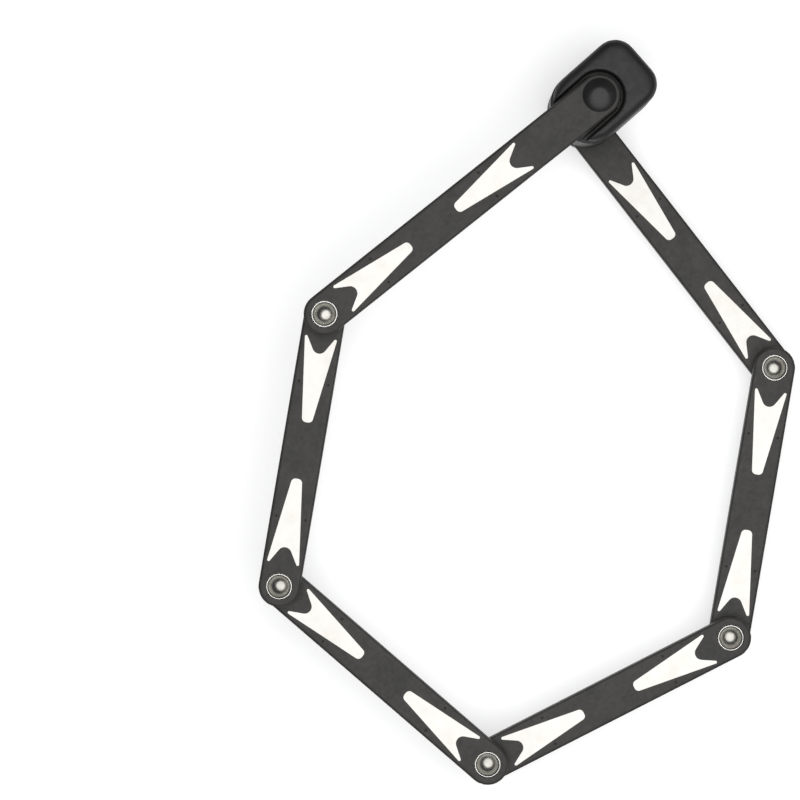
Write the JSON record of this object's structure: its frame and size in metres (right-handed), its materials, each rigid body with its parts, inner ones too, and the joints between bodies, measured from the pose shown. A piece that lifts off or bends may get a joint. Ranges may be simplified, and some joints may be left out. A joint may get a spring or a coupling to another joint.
{
  "type": "folding bike lock",
  "caption": "Folding bike lock of covered steel links on dished rivets, opened into its closed ring, with the last link's tongue in the slot of the key-locked body.",
  "frame": {"origin": "under the middle of the opened ring's footprint, level with the lowest point of the lock body's keyhole end", "axes": "+Z along every hinge axis, from the keyhole end to the pivot end of the lock body; +X from the body's pivot towards the mouth of its tongue slot; +Y from the badge side to the back"},
  "size_m": [0.3472, 0.302, 0.0655],
  "materials": {
    "casing": "satin black moulded plastic with a fine texture",
    "badge": "smooth black badge, blank",
    "vinyl": "charcoal soft vinyl link cover",
    "arrow": "warm white reflective inlay",
    "nickel": "bright nickel plate",
    "steel": "turned steel",
    "brass": "machined brass",
    "zinc": "die-cast zinc",
    "shutter": "olive yellow moulded plastic"
  },
  "bodies": {
    "body": {"sleeve": "casing", "keyhole_cap": "casing", "pivot_cap": "casing", "badge_plate": "badge", "lock_block": "zinc", "pivot_post": "steel", "pivot_dome": "casing", "pivot_washer": "nickel", "case_screw_front": "steel", "case_screw_rear": "steel", "shutter_pin": "steel", "pin_cover": "brass", "driver_pin_1": "brass", "driver_pin_2": "brass", "driver_pin_3": "brass", "driver_spring_1": "steel", "driver_spring_2": "steel", "driver_spring_3": "steel"},
    "plug": {"key_plug": "brass", "bolt_cam": "steel", "key_pin_1": "brass", "key_pin_2": "brass", "key_pin_3": "brass"},
    "bolt": {"locking_bolt": "steel", "bolt_carriage": "zinc"},
    "shutter": {"shutter": "shutter"},
    "link_a": {"link_plate_a": "nickel", "link_cover_a": "vinyl", "arrow_a_near": "arrow", "arrow_a_far": "arrow", "rivet_1": "nickel", "spacer_1": "nickel"},
    "link_b": {"link_plate_b": "nickel", "link_cover_b": "vinyl", "arrow_b_near": "arrow", "arrow_b_far": "arrow", "rivet_2": "nickel", "spacer_2": "nickel"},
    "link_c": {"link_plate_c": "nickel", "link_cover_c": "vinyl", "arrow_c_near": "arrow", "arrow_c_far": "arrow", "rivet_3": "nickel", "spacer_3": "nickel"},
    "link_d": {"link_plate_d": "nickel", "link_cover_d": "vinyl", "arrow_d_near": "arrow", "arrow_d_far": "arrow", "rivet_4": "nickel", "spacer_4": "nickel"},
    "link_e": {"link_plate_e": "nickel", "link_cover_e": "vinyl", "arrow_e_near": "arrow", "arrow_e_far": "arrow", "rivet_5": "nickel", "spacer_5": "nickel"},
    "link_f": {"link_plate_f": "nickel", "link_cover_f": "vinyl", "arrow_f_near": "arrow", "arrow_f_far": "arrow"}
  },
  "joints": [
    {"name": "body_pivot", "type": "hinge", "parent": "body", "child": "link_a", "pos_m": [-0.14288, -0.1305, 0.05865], "axis": [0, 0, -1], "range_deg": [-5, 1.5]},
    {"name": "hinge_1", "type": "hinge", "parent": "link_a", "child": "link_b", "pos_m": [0.04589, -0.13973, 0.05454], "axis": [0, 0, -1], "range_deg": [0, 217.6]},
    {"name": "hinge_2", "type": "hinge", "parent": "link_b", "child": "link_c", "pos_m": [0.1623, -0.04513, 0.04632], "axis": [0, 0, -1], "range_deg": [0, 238.8]},
    {"name": "hinge_3", "type": "hinge", "parent": "link_c", "child": "link_d", "pos_m": [0.14168, 0.10345, 0.0381], "axis": [0, 0, 1], "range_deg": [0, 111.8]},
    {"name": "hinge_4", "type": "hinge", "parent": "link_d", "child": "link_e", "pos_m": [-0.00386, 0.13974, 0.02988], "axis": [0, 0, 1], "range_deg": [0, 126.7]},
    {"name": "hinge_5", "type": "hinge", "parent": "link_e", "child": "link_f", "pos_m": [-0.11999, 0.04479, 0.02166], "axis": [0, 0, 1], "range_deg": [0, 132.6]},
    {"name": "plug_turn", "type": "hinge", "parent": "body", "child": "plug", "pos_m": [-0.15388, -0.1305, 0.0237], "axis": [0, 0, 1], "range_deg": [0, 90]},
    {"name": "bolt_slide", "type": "slide", "parent": "body", "child": "bolt", "axis": [0, 0, -1], "range_m": [0, 0.012]},
    {"name": "shutter_swing", "type": "hinge", "parent": "body", "child": "shutter", "pos_m": [-0.14988, -0.1185, 0.00415], "axis": [0, 0, 1], "range_deg": [0, 60]}
  ],
  "couplings": [
    {"joint": "plug_turn", "follows": "bolt_slide", "rad_per_m": 130.9}
  ]
}
